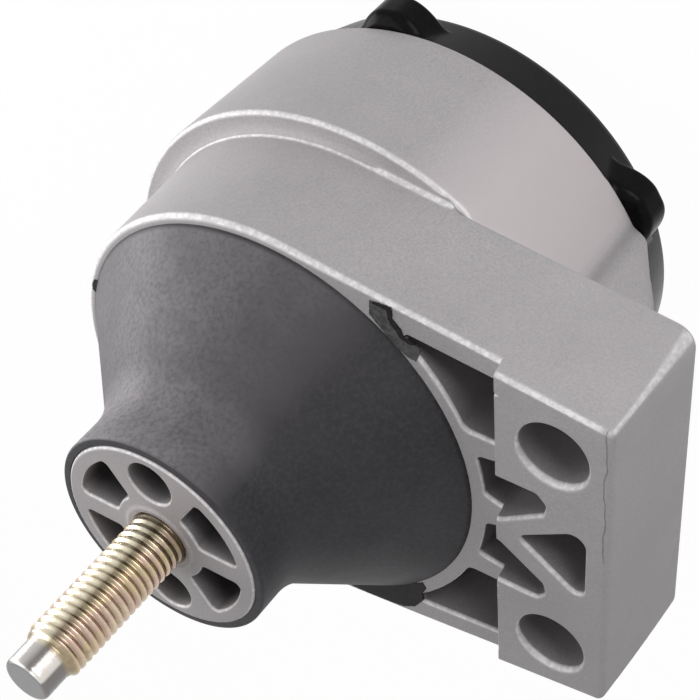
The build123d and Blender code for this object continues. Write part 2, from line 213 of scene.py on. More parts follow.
def bracket_outline(reach, end, corner):
    """The bracket's outline: an end face, two walls and a ring, with dense points at the pad's step."""
    lean = pi / 2 - wall_angle
    centre_x = end - corner
    top = np.array([centre_x, wall_point(centre_x, reach - corner)])
    low = top * mirror
    wall_start, wall_end = top + corner * wall_normal, reach * wall_normal
    past_step, before_step = [np.array([x, wall_point(x, reach)]) for x in (pad_edge + 0.4, pad_edge - 1.0)]
    return np.concatenate([
        straight(low + [corner, 0], top + [corner, 0], 24),
        arc(top, corner, 0, lean, 10),
        straight(wall_start, past_step, 40),
        straight(past_step, before_step, 16),
        straight(before_step, wall_end, 80),
        arc((0, 0), reach, lean, 2 * pi - lean, 200),
        straight(wall_end, before_step, 30) * mirror,
        straight(before_step, past_step, 16) * mirror,
        straight(past_step, wall_start, 14) * mirror,
        arc(low, corner, -lean, 0, 10),
    ])


def lengths(loop):
    """Length travelled along a line of points, at each point."""
    return np.concatenate([[0], np.cumsum(np.linalg.norm(np.diff(loop, axis=0), axis=1))])


def evenly(loop, count):
    """The closed loop, as count points with equal lengths between them."""
    closed = np.concatenate([loop, loop[:1]])
    travel = lengths(closed)
    wanted = np.linspace(0, travel[-1], count, endpoint=False)
    return np.stack([np.interp(wanted, travel, column) for column in closed.T], -1)


def unit(vectors):
    """Each row scaled to length 1."""
    return vectors / np.maximum(np.linalg.norm(vectors, axis=1, keepdims=True), tiny)


def rounded_loop(corners, radii, count):
    """Polygon with rounded corners: each arc's centre is radius / sin(half angle) along the bisector."""
    corners, radii = np.array(corners, float), np.array(radii, float)[:, None]
    before, after = unit(np.roll(corners, 1, 0) - corners), unit(np.roll(corners, -1, 0) - corners)
    half = np.arccos(np.clip((before * after).sum(1, keepdims=True), -1, 1)) / 2
    centre = corners + unit(before + after) * radii / np.sin(half)
    touch = radii / np.maximum(np.tan(half), tiny)
    spoke_a, spoke_b = corners + before * touch - centre, corners + after * touch - centre
    turn = pi - 2 * half
    t = np.linspace(0, 1, 13)[None, :, None]
    weights = np.sin((1 - t) * turn[:, None]), np.sin(t * turn[:, None])
    points = weights[0] * spoke_a[:, None] + weights[1] * spoke_b[:, None]
    points = centre[:, None] + points / np.maximum(np.sin(turn), tiny)[:, None]
    return evenly(points.reshape(-1, 2), count)


def normals(loop):
    """Outward normals of a counter-clockwise loop: its tangents, turned by a quarter."""
    tangent = unit(np.roll(loop, -1, 0) - np.roll(loop, 1, 0))
    return np.stack([tangent[:, 1], -tangent[:, 0]], -1)


def outset(loop, distance):
    """The loop moved out along its normals, by one distance or one for each point."""
    return loop + np.broadcast_to(distance, len(loop))[:, None] * normals(loop)


def inside(points, loop):
    """True for points inside the loop: a line to the right crosses it an odd number of times."""
    x, y = points[:, :1], points[:, 1:]
    (ax, ay), (bx, by) = loop.T, np.roll(loop, -1, 0).T
    crosses = (ay > y) != (by > y)
    at = ax + (y - ay) * (bx - ax) / np.where(by == ay, 1e-12, by - ay)
    return (crosses & (x < at)).sum(1) % 2 == 1


def raised(loop, z):
    """The loop's points at one height, or each at its own."""
    return np.column_stack([loop, np.broadcast_to(z, len(loop))])


def level(z):
    """A height function that gives z for every point."""
    return lambda points: z


def flat_patch(outer, holes, height, spacing=3.0):
    """A face between an outer loop and holes, in triangles kept even by spare points. height gives z."""
    clearance = 0.4
    loops = [outer, *holes]
    x_low, y_low = outer.min(0)
    x_high, y_high = outer.max(0)
    step = np.linspace(pad_edge - step_width, pad_edge, 7)
    columns = (np.arange(x_low, x_high, spacing), spacing), (step, 0.6)
    grids = [np.stack(np.meshgrid(x, np.arange(y_low, y_high, gap)), -1).reshape(-1, 2) for x, gap in columns]
    spare = np.concatenate(grids)
    keep = inside(spare, outset(outer, -clearance))
    for hole in holes:
        keep &= ~inside(spare, outset(hole, clearance))
    points = np.concatenate([*loops, spare[keep]])
    edges, start = [], 0
    for loop in loops:
        ids = np.arange(len(loop)) + start
        edges += np.stack([ids, np.roll(ids, -1)], -1).tolist()
        start += len(loop)
    result = delaunay_2d_cdt([Vector(p) for p in points], edges, [], 1, 1e-6)
    flat = np.array([tuple(p) for p in result[0]])
    faces = np.array(result[2])
    middle = flat[faces].mean(1)
    keep = np.full(len(middle), True)
    for hole in holes:
        keep &= ~inside(middle, hole)
    return raised(flat, height(flat)), faces[keep].tolist()


# %% [markdown]
# ## The bracket
#
# The front of the bracket has two levels: the ring, and a pad that stands proud of it round the bolt
# holes. Both are one surface, whose height depends only on how far a point lies towards the bolts, with a
# short soft step between.
#
# Pockets sink into that face between the ribs. They save weight and keep the walls about as thick
# everywhere, so that the casting cools evenly. The rows of a pocket start on the face, turn down over a
# rounded lip, lean in a little so that the casting leaves its mould, and end in a flat floor.


# %% Front face, pockets and holes
def front_height(points):
    """z of the bracket's front: the ring's level, and the pad's beyond the step."""
    return ring_z + pad_rise * ramp(points[..., 0], pad_edge - step_width, pad_edge)


support = 0.1
shaded_side = np.array([-0.15, -0.99])


def lips(loop, narrow, wide):
    """Lip width at each point: wide where the outward normal points to the shaded side."""
    return narrow + (wide - narrow) * ramp(normals(loop) @ shaded_side, -0.3, 0.9)


def lip_rows(loop, lip, height):
    """Rows of a rounded lip: a support row on the face, then a quarter round."""
    rim = outset(loop, lip + support)
    rows = [raised(rim, height(rim))]
    for out, down in quarter(7):
        ring = outset(loop, lip * out)
        rows.append(raised(ring, height(ring) - lip * down))
    return rows


def pocket(loop, lip, lean, floor_z, floor_round=0.6, height=front_height):
    """Patch of a pocket: its lip, a wall that leans in, and a floor that closes to its middle."""
    rows = lip_rows(loop, lip, height)
    top = rows[-1][:, 2]
    for share in (0.1, 0.35, 0.65, 1.0):
        ring = outset(loop, -lean * share)
        rows.append(raised(ring, top + (floor_z + floor_round - top) * share))
    for up, inwards in quarter(7)[1:]:
        rows.append(raised(outset(loop, -lean - floor_round * inwards), floor_z + floor_round * up))
    last = rows[-1]
    middle = last.mean(0)
    rows += [middle + (last - middle) * share for share in (0.5, 0.0)]
    return grid_patch(np.array(rows))


def through_hole(loop, lip, low_lip):
    """Patch of a hole right through the bracket, with a rounded lip at both ends."""
    rows = lip_rows(loop, lip, front_height)
    rows += [raised(row[:, :2], under_z - row[:, 2]) for row in lip_rows(loop, low_lip, level(0))[::-1]]
    return grid_patch(np.array(rows))


def ring_side(radius, y_values):
    """Points of a circle round the stud, at these y."""
    y_values = np.array(y_values, float)
    return np.stack([np.sqrt(radius**2 - y_values**2), y_values], -1)


floor_thickness, wall_thickness = 4.0, 5.2
hollow_floor_z = under_z + floor_thickness
pocket_reach = wall_radius - block_depth * draft_slope - wall_thickness
rib_inner_y, rib_outer_y = 14.6, 19.4
tip_y = wall_point(33.5, pocket_reach)
large_side = ring_side(wall_radius, [*np.linspace(rib_outer_y, tip_y - 4.4, 8), tip_y])
hollow_edge = pad_edge - 0.15
large_corners = np.concatenate([
    [[hollow_edge, rib_outer_y], [hollow_edge, wall_point(hollow_edge, pocket_reach)]],
    large_side[::-1],
])
slanted_side = ring_side(wall_radius + 0.2, np.linspace(4.0, rib_inner_y - 0.9, 6))
slanted_corners = np.concatenate([
    [[52.5, 2.7], [62.3, 9.8], [62.8, 12.4], [60.8, rib_inner_y], [52.0, rib_inner_y]],
    slanted_side[::-1],
])
large_loop = rounded_loop(large_corners, [1.2, 1.4, 1.2, *[0] * 7, 2.2], 320)
slanted_loop = rounded_loop(slanted_corners, [2.4, 1.6, 1.6, 1.6, 0, 1.2, *[0] * 4, 1.5], 260)
middle_loop = rounded_loop([[56.6, 0.6], [71.0, -9.9], [71.0, 9.9]], [1.4, 2.0, 2.6], 120)
pocket_loops = [large_loop, mirrored(large_loop), slanted_loop, mirrored(slanted_loop), middle_loop]

bolt_x, bolt_y, bolt_radius = 64.0, 26.5, 7.1
bolt_loops = [circle(bolt_radius, 96, (bolt_x, side * bolt_y)) for side in (1, -1)]
print("pockets", len(pocket_loops), "bolt holes", len(bolt_loops))

# %% [markdown]
# The outer wall follows the outline from the underside up to the front face. Its edges are quarter
# rounds, which is where a casting catches the light. It leans in by two degrees, so the outline of each
# row follows from its height. Where the wall stands on the can, its foot flares out into the shoulder.


# %% Outer wall, faces and bore
edge_depth, low_round, foot_flare, foot_sink = 1.4, 1.3, 1.35, 0.03
wall_height = pad_z - under_z


def wall_outline(rise):
    """Drafted outline at a height above the underside, its end corners rounder further down."""
    shift = rise * draft_slope
    corner = 1.5 + 3.0 * (1 - rise / wall_height) ** 2
    return bracket_outline(wall_radius - shift, block_end - shift, corner)


def rough(travel):
    """Small unevenness along an edge: a sum of sines whose wavelengths share no multiple."""
    return (np.sin(travel * 4.1) + np.sin(travel * 7.3 + 1.0) + 0.8 * np.sin(travel * 11.9 + 2.0)) / 2.8


def wall_row(inset, z, share):
    """A row between the wall's foot (share 0) and its front edge (share 1). z counts from that end."""
    loop = outset(wall_outline(share * wall_height), -inset)
    return raised(loop, (under_z + z) * (1 - share) + (front_height(loop) + z) * share)


foot_loop = wall_outline(0)
on_can = 1 - ramp(np.hypot(*foot_loop.T), 51.8, 53.1)


def foot_row(out, up, extra=0.0):
    """A row of the foot's quarter round: inwards where the wall is free, outwards on the can."""
    inset = ((1 - on_can) * low_round - on_can * foot_flare) * out + extra
    return wall_row(inset, ((1 - on_can) * low_round + on_can * foot_flare) * up - foot_sink * on_can, 0)


wall_rows = [foot_row(1, 0, support)] + [foot_row(out, up) for out, up in quarter(7)]
for share in (0.03, 0.2, 0.4, 0.6, 0.8, 0.97):
    wall_rows.append(wall_row(0, low_round * (1 - share) - edge_depth * share, share))
front_loop = wall_outline(wall_height)
x, y = front_loop.T
torn = 0.32 * rough(lengths(front_loop)) * ramp(y, 30, 34) * ramp(x, 8, 26)
width = 0.95 + 0.65 * (1 - ramp(x, 0, 34))
for down, inwards in quarter(7):
    fade = torn * (1 - down) * (1 - inwards)
    wall_rows.append(wall_row(width * inwards + fade, fade - edge_depth * down, 1))
wall_rows.append(wall_row(width + support, 0, 1))
wall_rows = np.array(wall_rows)

openings = [(loop, lips(loop, 0.3, 1.0)) for loop in pocket_loops]
holes = [(loop, lips(loop, 0.5, 1.5), 0.8) for loop in bolt_loops] + [(circle(bore_radius, 240), 0.06, 0.3)]
front_holes = [outset(loop, lip + support) for loop, lip, *low_lip in openings + holes]
low_holes = [outset(loop, low_lip + support) for loop, lip, low_lip in holes]
underside = flat_patch(wall_rows[0][:, :2], low_holes, level(under_z))
underside[0][:len(foot_loop), 2] = wall_rows[0][:, 2]
bracket = make_piece("bracket_casting", [
    grid_patch(wall_rows),
    *[pocket(loop, lip, 0.4, hollow_floor_z) for loop, lip in openings],
    *[through_hole(*hole) for hole in holes],
    flat_patch(wall_rows[-1][:, :2], front_holes, front_height),
    underside,
])

# %% [markdown]
# ## The can and its web
#
# The can below the ring is nearly a cylinder, and a web grows out of it under the bolts, to carry their
# pull. Made apart, they would meet in a hard crease, but the real casting flows from one into the other.
# So both are one surface in polar form: for each direction and height, the radius is the can's or the
# web's, whichever is larger, with a soft maximum that leaves a fillet.


# %% Can and web
def soft_max(a, b, width):
    """The larger of a and b, rounded where they are within width: max + (width - |a - b|)^2 / 4 width."""
    h = np.maximum(width - np.abs(a - b), 0)
    return np.maximum(a, b) + h * h / (4 * width)


def soft_min(a, b, width):
    """The smaller of a and b, rounded off in the same way."""
    return -soft_max(-a, -b, width)


web_half_width, web_reach, web_top_gap, web_end_z = 17.0, 69.0, 3.0, rim_z + 3.7
web_slope = (web_reach - can_rim_radius + 0.5) / (under_z - web_top_gap - web_end_z)


def web_radius(angle, z, can):
    """Distance from the axis to the web: a slanting front between two sides that flare at their feet."""
    face_x = np.minimum(web_reach, web_reach - web_slope * (under_z - web_top_gap - z))
    front = face_x / np.maximum(np.cos(angle), 0.3)
    side = web_half_width / np.maximum(np.abs(np.sin(angle)), 1e-3)
    rise = np.clip((radians(27.5) - np.abs(angle)) / radians(10), 0, 1.2)
    foot = can - 0.5 + 4.6 * rise + 3.4 * rise**2
    return soft_min(front, soft_max(side, foot, 2.0), 1.8)


def can_side(share):
    """Radius of the can's drafted side, from its rim at 0 to its shoulder at 1."""
    return can_rim_radius + can_draft * share


dense = radians(30)
can_angles = np.concatenate([
    np.linspace(-dense, dense, 260, endpoint=False),
    np.linspace(dense, 2 * pi - dense, 260, endpoint=False),
])
off_axis = np.abs((can_angles + pi) % (2 * pi) - pi)
under_block = 1 - ramp(off_axis, radians(55.5), radians(57.5))
rim_round, shoulder_round = 0.9, 1.2
low_wall, high_wall = rim_z + rim_round, under_z - shoulder_round
can_profile = [(can_rim_radius - rim_round - 0.3, rim_z)]
can_profile += [(can_rim_radius - rim_round * out, rim_z + rim_round * up) for out, up in quarter(6)]
can_profile += [(can_side(s), low_wall + (high_wall - low_wall) * s) for s in np.linspace(0.04, 0.96, 22)]
can_profile += [(can_radius - shoulder_round * b, under_z - shoulder_round * a) for a, b in quarter(6)]
can_rows = []
for radius, z in can_profile:
    near = can_side(np.clip((z - rim_z) / (under_z - rim_z), 0, 1))
    web = web_radius(can_angles, z, near)
    full = radius + (near - radius) * under_block * (z > low_wall + 5)
    row = np.where(web > near - 0.9, soft_max(full, web, 0.9), full)
    row = np.where(off_axis < radians(40), row, full)
    can_rows.append(polar(row, can_angles, z))
bore, chamber, chamber_top = 49.3, 46.0, -67.0
buried = np.maximum(ramp(row, can_radius, can_radius + 3.0), under_block)
can_rows.append(polar(bore + (row - bore) * buried, can_angles, under_z + buried))
can_inner = rings([
    (47.6, under_z + 1.0), (chamber, under_z + 1.0), (chamber, chamber_top),
    (bore, chamber_top), (bore, rim_z + 0.2), (bore + 0.2, rim_z),
], can_angles)
can = make_piece("can_casting", [grid_patch(np.concatenate([can_rows, can_inner, can_rows[:1]]))])

# %% [markdown]
# ## The core
#
# The small casting in the middle has a flat seat with six pockets, two round and four cornered, and
# spokes between them. It is made as the bracket's front is: a filled face, pockets with soft lips, and a
# turned side. Round the stud, the metal was pressed up into a low collar.

# %% Core
core_round, core_floor_z = 0.7, -13.0
hollow_in, hollow_out = 9.8, 18.5
spoke_slope, spoke_half, spoke_shift = tan(radians(57.0)), 2.4, 1.0
round_y, round_radius = 14.9, 4.9


def cornered_hollow():
    """Corners of a core pocket: two pieces of circles that end on the sides of two spokes."""
    line = np.linspace(0.1, 30, 3000)
    slanted = line * spoke_slope - spoke_shift
    pieces = []
    for radius, count in ((hollow_out, 10), (hollow_in, 8)):
        at = np.argmin(np.abs(np.hypot(line, slanted) - radius))
        start, end = np.arcsin(spoke_half / radius), np.arctan2(slanted[at], line[at])
        pieces.append(arc((0, 0), radius, start, end, count, with_end=True))
    return np.concatenate([pieces[0], pieces[1][::-1]])


quarter_loop = rounded_loop(cornered_hollow(), [1.2, *[0] * 8, 1.2, 1.2, *[0] * 6, 1.2], 96)
core_loops = [quarter_loop, mirrored(quarter_loop, [-1, 1]), quarter_loop * [-1, -1], mirrored(quarter_loop)]
core_loops += [circle(round_radius, 72, (0, side * round_y)) for side in (1, -1)]
core_lips = [lips(loop, 0.35, 0.65) for loop in core_loops]
side = [(core_radius - core_round - support, 0.0)]
side += [(core_radius - core_round * out, -core_round * down) for out, down in quarter(6)]
side += [(core_radius, -11.0), (13.5, -42.0), (0.0, -42.0)]
collar = [(2.4, 0.0), (2.0, 0.05), (1.5, 0.25), (1.0, 0.38), (0.6, 0.3), (0.25, 0.0), (0.0, -0.5)]
collar = [(stud_radius + out, z) for out, z in collar] + [(0.0, -1.4)]
seat_holes = [outset(loop, lip + support) for loop, lip in zip(core_loops, core_lips)]
seat_holes += [circle(collar[0][0], 96)]
core = make_piece("core_casting", [
    *[pocket(loop, lip, 0.35, core_floor_z, 0.8, level(0)) for loop, lip in zip(core_loops, core_lips)],
    turned(side),
    turned(collar, 96),
    flat_patch(circle(side[0][0], 192), seat_holes, level(0), 1.5),
])

# %% [markdown]
# ## The stud
#
# A screw thread is one function of the angle and the height: the groove's depth depends on how far the
# height lies along the pitch, less the angle as a share of a turn. A right-hand thread rises as the angle
# grows. The groove is a triangle wave with its crest and root cut flat, and it fades at both ends, as in
# a rolled thread. A profile swept along a helix would need more care there.

# %% Threaded stud
pitch, thread_depth, thread_end_z = 1.75, 0.38, 31.6
dog_radius, dog_round = 4.8, 0.9


def thread_radius(angle, z):
    """Radius of the thread: crest less depth times a flattened triangle wave of z / pitch - angle / turn."""
    wave = np.abs(((z / pitch - angle / (2 * pi)) % 1.0) - 0.5) * 2
    groove = np.clip((wave - 0.14) / 0.66, 0, 1)
    fade = ramp(z, 0.0, 1.6) * (1 - 0.6 * ramp(z, thread_end_z - 1.4, thread_end_z))
    taper = ramp(z, thread_end_z - 1.5, thread_end_z + 0.9) * (stud_radius - dog_radius)
    return np.maximum(stud_radius - taper - thread_depth * groove * fade, dog_radius)


stud_angles = full_turn(120)
angle_grid, height_grid = np.meshgrid(stud_angles, np.linspace(-0.6, thread_end_z + 0.9, 420))
thread_grid = polar(thread_radius(angle_grid, height_grid), angle_grid, height_grid)
foot = [(0.0, -1.0), (3.0, -1.0), (5.6, -1.0), (stud_radius, -0.8)]
dog = [(dog_radius, z) for z in (thread_end_z + 1.2, thread_end_z + 3.0, tip_z - 1.3)]
dog += [(dog_radius - dog_round * inwards, tip_z - dog_round * to_go) for to_go, inwards in quarter(5)]
dog += [(r, tip_z) for r in (3.6, 1.8, 0.0)]
stud_grid = np.concatenate([rings(foot, stud_angles), thread_grid, rings(dog, stud_angles)])
stud = make_piece("threaded_stud", [grid_patch(stud_grid)])

# %% [markdown]
# ## The rubber spring
#
# The rubber carries the engine and soaks up its shaking. It is a turned shape: a collar round the core, a
# neck that flows into a cone, and a foot bonded to the ring. The neck is a cubic curve whose two ends
# follow the collar and the cone, so there is no kink where they meet.


# %% Rubber spring
def cubic(start, end, start_pull, end_pull, count):
    """Points of a cubic curve, by the Hermite weights of its ends and their pulls."""
    t = np.linspace(0, 1, count)[:, None]
    return (
        (2 * t**3 - 3 * t**2 + 1) * start + (t**3 - 2 * t**2 + t) * start_pull
        + (3 * t**2 - 2 * t**3) * end + (t**3 - t**2) * end_pull
    )


lip_radius, lip_round, neck_z, neck_pull = 23.4, 0.6, -7.5, 12.0
bond, foot_z = 0.02, -62.0
cone_top = np.array([27.8, -18.2])
ring_edge = np.array([bore_radius - bond, ring_z])
cone_run = ring_edge - cone_top
cone_pull = cone_run / np.linalg.norm(cone_run) * neck_pull
profile = [(core_radius + out, lip_top_z - down) for out, down in ((-1.0, 1.5), (-bond, 0.6), (0.2, 0.0))]
profile += [(lip_radius - lip_round * out, lip_top_z - lip_round * down) for out, down in quarter(6)]
profile += [(lip_radius, z) for z in (-2.0, -4.0, -6.0)]
profile += cubic(np.array([lip_radius, neck_z]), cone_top, np.array([0, -neck_pull]), cone_pull, 24).tolist()
profile += (cone_top + cone_run * np.linspace(0, 1, 26)[1:, None]).tolist()
profile += [(bore_radius - bond, -50.0), (bore_radius - bond, foot_z), (42.7, foot_z), (31.0, -45.5)]
profile += [(13.6, -42.1), (13.6, -42.0), (core_radius - 1.0, -11.0), profile[0]]
spring = make_piece("rubber_spring", [turned(profile, 240)])

# %% [markdown]
# ## Torn rubber skins
#
# When rubber is moulded into a casting, some of it creeps between mould and metal and sets as a thin
# skin. It is torn off by hand, and scraps of it stay: at the root of the upper wall, at the lower side of
# the ring, and a nib on the rim.


# %% Torn skins
def scrap(corners, thickness):
    """Patches of a thin scrap on the ring: two faces with a ragged outline, and its edge."""
    spacing, raggedness, sink = 0.15, 0.08, 0.25
    loop = np.array(corners)
    length = np.linalg.norm(loop - np.roll(loop, 1, 0), axis=1).sum()
    loop = evenly(loop, int(length / spacing))
    loop = outset(loop, raggedness * rough(np.arange(len(loop)) * spacing))
    levels = ring_z + thickness, ring_z - sink
    edge = grid_patch(np.array([raised(loop, z) for z in levels]))
    return [flat_patch(loop, [], level(z), 1.0) for z in levels] + [edge]


upper_scrap = [(25.0, 39.1), (26.4, 37.6), (28.4, 35.6), (30.4, 33.6), (32.7, 32.2), (34.5, 31.9), (35.5, 34.8),
               (34.3, 36.2), (32.9, 37.0), (31.4, 37.0), (31.1, 38.3), (30.3, 39.2), (29.5, 40.5), (29.9, 42.8),
               (27.3, 42.8), (25.2, 42.5)]
upper_edge = [(27.3, 42.1), (28.9, 41.9), (29.1, 40.0), (29.6, 38.8), (30.6, 37.9), (31.2, 36.7), (32.0, 36.2),
              (33.6, 35.7), (34.7, 36.2), (33.5, 36.8), (32.0, 37.1), (31.7, 38.4), (30.7, 39.4), (29.9, 40.2),
              (30.0, 41.8), (29.7, 42.9), (27.5, 42.8), (25.9, 42.6), (26.0, 42.1)]
lower_scrap = [(16.9, -44.0), (20.7, -43.6), (25.7, -42.9), (28.0, -42.4), (30.8, -40.6), (33.1, -37.0),
               (32.7, -35.3), (33.8, -33.0), (33.1, -31.5), (30.4, -33.3), (27.4, -35.6), (23.6, -38.1),
               (18.4, -41.1), (14.6, -43.4), (14.7, -44.0)]
rim_nib = [(-43.0, 16.0), (-43.6, 15.0), (-43.8, 13.3), (-42.9, 12.6), (-41.6, 16.4)]
torn_skin = make_piece("torn_skin", scrap(upper_scrap, 0.12))
torn_edges = make_piece("torn_edges", scrap(upper_edge, 0.3) + scrap(lower_scrap, 0.15) + scrap(rim_nib, 0.4))

# %% [markdown]
# ## The closing cap
#
# The cap is black and mostly hidden, but its flange and two lugs stand out behind the can. It is turned,
# and the lugs are added to its radius: each is a smoothed trapezium in the angle. Towards the can's rim
# it falls back by the square of the way up, and part of the way down it sinks into the cap.

# %% Closing cap
cap_flange_radius, cap_foot_radius = can_rim_radius - 1.0, can_rim_radius - 4.8
lug_count, lug_first, lug_shoulder, lug_low_z = 5, radians(29.4), 2.4, rim_z - 8.3
lug_root_radius, lug_root_half, lug_tip_radius, lug_tip_half = 49.2, 9.0, 55.1, 4.6
cap_angles = full_turn(600)
away = np.abs((cap_angles - lug_first + pi / lug_count) % (2 * pi / lug_count) - pi / lug_count)
flank_slope = (lug_tip_radius - lug_root_radius) / (lug_root_half - lug_tip_half)
flank = (lug_root_radius + lug_root_half * flank_slope) / (1 + flank_slope * away)
lug_radius = soft_min(flank, lug_tip_radius, 4.2)


def cap_row(radius, z):
    """One row of the cap: the turned radius or the lug's, whichever is larger."""
    shoulder = np.clip((z - rim_z + lug_shoulder) / lug_shoulder, 0, 1) ** 2
    sunk = 8.0 * ramp(-z, -lug_low_z - 0.9, -lug_low_z + 1.2)
    lug = lug_radius - sunk - lug_shoulder * shoulder
    return polar(soft_max(radius, lug, 1.4), cap_angles, z)


def cap_wall(z):
    """The turned side leans in from the flange to the foot."""
    return cap_flange_radius + (cap_foot_radius - cap_flange_radius) * (rim_z - z) / (rim_z - base_z)


heights = np.concatenate([
    np.linspace(rim_z - 0.2, rim_z - lug_shoulder, 9),
    np.linspace(rim_z - 2.8, lug_low_z + 1.0, 9),
    np.linspace(lug_low_z + 0.6, lug_low_z - 0.6, 9),
    np.linspace(lug_low_z - 1.0, base_z + 1.2, 6),
])
inner_radius, sleeve_radius, sleeve_top_z = cap_foot_radius - 2.9, 49.18, -85.2
recess_z, floor_top_z = base_z + 1.4, base_z + 2.6
sleeve = [(inner_radius, sleeve_top_z), (sleeve_radius, sleeve_top_z), (sleeve_radius, rim_z)]
side_rows = [cap_row(cap_flange_radius - 0.5, rim_z - 0.02)] + [cap_row(cap_wall(z), z) for z in heights]
foot = [(cap_foot_radius - inwards, base_z + to_go) for to_go, inwards in quarter(5)]
foot += [(38.6, base_z), (38.0, base_z + 0.4), (37.8, recess_z), (20.0, recess_z), (2.0, recess_z)]
foot += [(1.5, recess_z + 0.3), (1.5, floor_top_z), (44.0, floor_top_z), (inner_radius, -106.5), sleeve[0]]
cap_grid = np.concatenate([rings(sleeve, cap_angles), side_rows, rings(foot, cap_angles)])
cap = make_piece("closing_cap", [grid_patch(cap_grid)])

# %% [markdown]
# ## Finishes
#
# A finish is made of nodes that read the object's own coordinates, so it stays on the piece from every
# side. Each helper adds a node or a few to a material's tree and gives an output back, so a finish reads
# like a sum: where a point lies, which way it faces, how rough it is there.


# %% Shader helpers
def join(tree, node, inputs):
    """Fills a node's inputs with numbers, colours or other nodes' outputs, and gives the node back."""
    for key, value in inputs.items():
        if isinstance(value, bpy.types.NodeSocket):
            tree.links.new(value, node.inputs[key])
        else:
            node.inputs[key].default_value = (*value, 1) if isinstance(value, tuple) else value
    return node


def add(tree, kind, inputs, **settings):
    """A new node of a kind, with its settings and inputs."""
    node = tree.nodes.new("ShaderNode" + kind)
    for name, setting in settings.items():
        setattr(node, name, setting)
    return join(tree, node, inputs)


def new_material(name, colour, metallic, roughness):
    """A material with one Principled shader: the material, its node tree and the shader."""
    material = bpy.data.materials.new(name)
    material.use_nodes = True
    tree = material.node_tree
    inputs = {"Base Color": colour, "Metallic": metallic, "Roughness": roughness}
    return material, tree, join(tree, tree.nodes["Principled BSDF"], inputs)


def own_place(tree, kind):
    """The object's own coordinates or normal."""
    node = tree.nodes.get("Place") or add(tree, "TexCoord", {}, name="Place")
    return node.outputs[kind]


def noise(tree, scale, detail=3.0, roughness=0.6):
    """Noise over the object's own coordinates. scale is in features to the metre."""
    inputs = {"Vector": own_place(tree, "Object"), "Scale": scale, "Detail": detail, "Roughness": roughness}
    return add(tree, "TexNoise", inputs).outputs["Fac"]


def spread(tree, value, from_low, from_high, low=0.0, high=1.0):
    """Maps from_low..from_high to low..high, and holds the ends."""
    inputs = {"Value": value, "From Min": from_low, "From Max": from_high, "To Min": low, "To Max": high}
    return add(tree, "MapRange", inputs).outputs["Result"]


def tones(tree, value, stops):
    """Colour that runs through (position, tone) stops by a value."""
    node = add(tree, "ValToRGB", {"Fac": value})
    elements = node.color_ramp.elements
    while len(elements) < len(stops):
        elements.new(0.5)
    for element, (position, tone) in zip(elements, stops):
        element.position = position
        element.color = (*tone, 1)
    return node.outputs["Color"]


def bump(tree, heights):
    """Normal of a bump of 0.1 mm, from (value, strength) pairs in a chain."""
    last = {}
    for value, strength in heights:
        inputs = {"Height": value, "Strength": strength, "Distance": 0.1 * MM, **last}
        last = {"Normal": add(tree, "Bump", inputs).outputs["Normal"]}
    return last["Normal"]


def blend(tree, share, first, second):
    """Mixes two colours, each a tuple or a node's output, by a share from 0 to 1."""
    return add(tree, "Mix", {"Factor": share, 6: first, 7: second}, data_type="RGBA").outputs[2]


def calc(tree, operation, first, second=0.0):
    """An operation on two values, each a number or a node's output."""
    return add(tree, "Math", {0: first, 1: second}, operation=operation).outputs["Value"]


def coats(tree, colour, *layers):
    """A colour under coats, each a share and a tone."""
    for share, tone in layers:
        colour = blend(tree, share, colour, tone)
    return colour


def product(tree, first, *others):
    """Several values multiplied: 1 only where all are."""
    for other in others:
        first = calc(tree, "MULTIPLY", first, other)
    return first


def coordinates(tree, kind="Object"):
    """x, y and z of the object's own coordinates or normal."""
    apart = add(tree, "SeparateXYZ", {"Vector": own_place(tree, kind)})
    return [apart.outputs[axis] for axis in "XYZ"]


def facing(tree, angle, kind="Normal"):
    """How far a surface faces an angle round the stud: x cos(angle) + y sin(angle) of its normal."""
    x, y, z = coordinates(tree, kind)
    x_part, y_part = product(tree, x, cos(radians(angle))), product(tree, y, sin(radians(angle)))
    return calc(tree, "ADD", x_part, y_part)


def from_axis(tree):
    """Distance from the stud's axis: the root of x^2 + y^2."""
    x, y, z = coordinates(tree)
    return calc(tree, "SQRT", calc(tree, "ADD", product(tree, x, x), product(tree, y, y)))


def towards(tree, angle):
    """Cosine of the angle, round the stud, between a point and a direction."""
    return calc(tree, "DIVIDE", facing(tree, angle, "Object"), from_axis(tree))


def shade(tone, share):
    """The tone made darker or lighter."""
    return tuple(c * share for c in tone)


# %% [markdown]
# Cast aluminium is a warm grey metal, cloudy and speckled as if sand-blasted, with a fine grain in its
# bump. On rounded edges that face half up, and on the corner by the end face, a speckled highlight is
# painted in. Where the two halves of the mould met, a fine dark line crosses the pad. The hollows get
# painted shade, and the can gets painted light beside its web and painted shade in the web's crease.


# %% Cast aluminium
def painted_edge_highlight(tree):
    """1 on rounded edges that face half up, where a highlight is painted in."""
    z = coordinates(tree, "Normal")[2]
    from_wall = spread(tree, z, 0.15, 0.45)
    from_flat = spread(tree, z, 0.86, 0.985, 1.0, 0.0)
    off_end = spread(tree, coordinates(tree)[0], 72.6 * MM, 73.6 * MM, 1.0, 0.15)
    return product(tree, from_wall, from_flat, off_end)


def painted_corner_highlight(tree):
    """1 on the corner between the upper wall and the end face, where a highlight is painted in too."""
    turned_to = spread(tree, facing(tree, 45), 0.93, 0.985, high=0.8)
    return product(tree, turned_to, spread(tree, coordinates(tree)[0], 69.0 * MM, 71.0 * MM))


